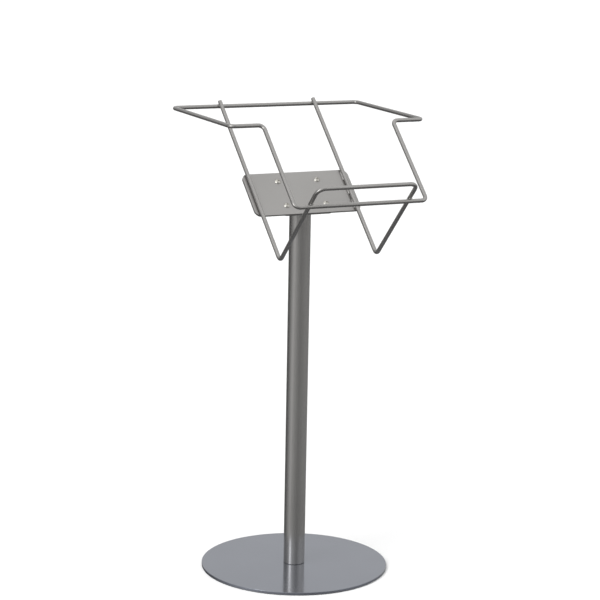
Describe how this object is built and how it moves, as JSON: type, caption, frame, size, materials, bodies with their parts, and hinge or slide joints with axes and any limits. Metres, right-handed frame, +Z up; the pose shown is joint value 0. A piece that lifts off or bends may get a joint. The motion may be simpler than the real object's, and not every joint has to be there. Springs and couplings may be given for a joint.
{
  "type": "magazine rack",
  "caption": "Floor-standing wire magazine rack: a round steel base, one post and a leaning tray of bent wire with a collar and an open front.",
  "frame": {"origin": "middle of the base's underside, on the post's axis", "axes": "+Z up along the post; the tray opens towards -Y; +X is the right-hand side of a person who faces the tray"},
  "size_m": [0.311, 0.3513, 0.697],
  "materials": {
    "base_lacquer": "satin silver-grey lacquer on flat steel",
    "post_lacquer": "satin silver-grey lacquer on drawn tube",
    "wire_lacquer": "satin silver-grey lacquer on round wire",
    "plate_lacquer": "satin silver-grey lacquer on cut plate",
    "zinc_fastener": "bright zinc plating",
    "turned_steel": "plain turned steel",
    "mat_rubber": "matte black foam rubber",
    "nylon": "natural nylon"
  },
  "bodies": {
    "root": {"base_plate": "base_lacquer", "base_mat": "mat_rubber", "base_screw": "zinc_fastener", "post_insert": "turned_steel", "post_tube": "post_lacquer", "head_plate": "plate_lacquer", "frame_plate": "plate_lacquer", "frame_screws": "zinc_fastener", "frame_washers": "zinc_fastener", "frame_nuts": "zinc_fastener", "nut_rings": "nylon", "collar_wire": "wire_lacquer", "shelf_wire": "wire_lacquer"}
  },
  "joints": []
}
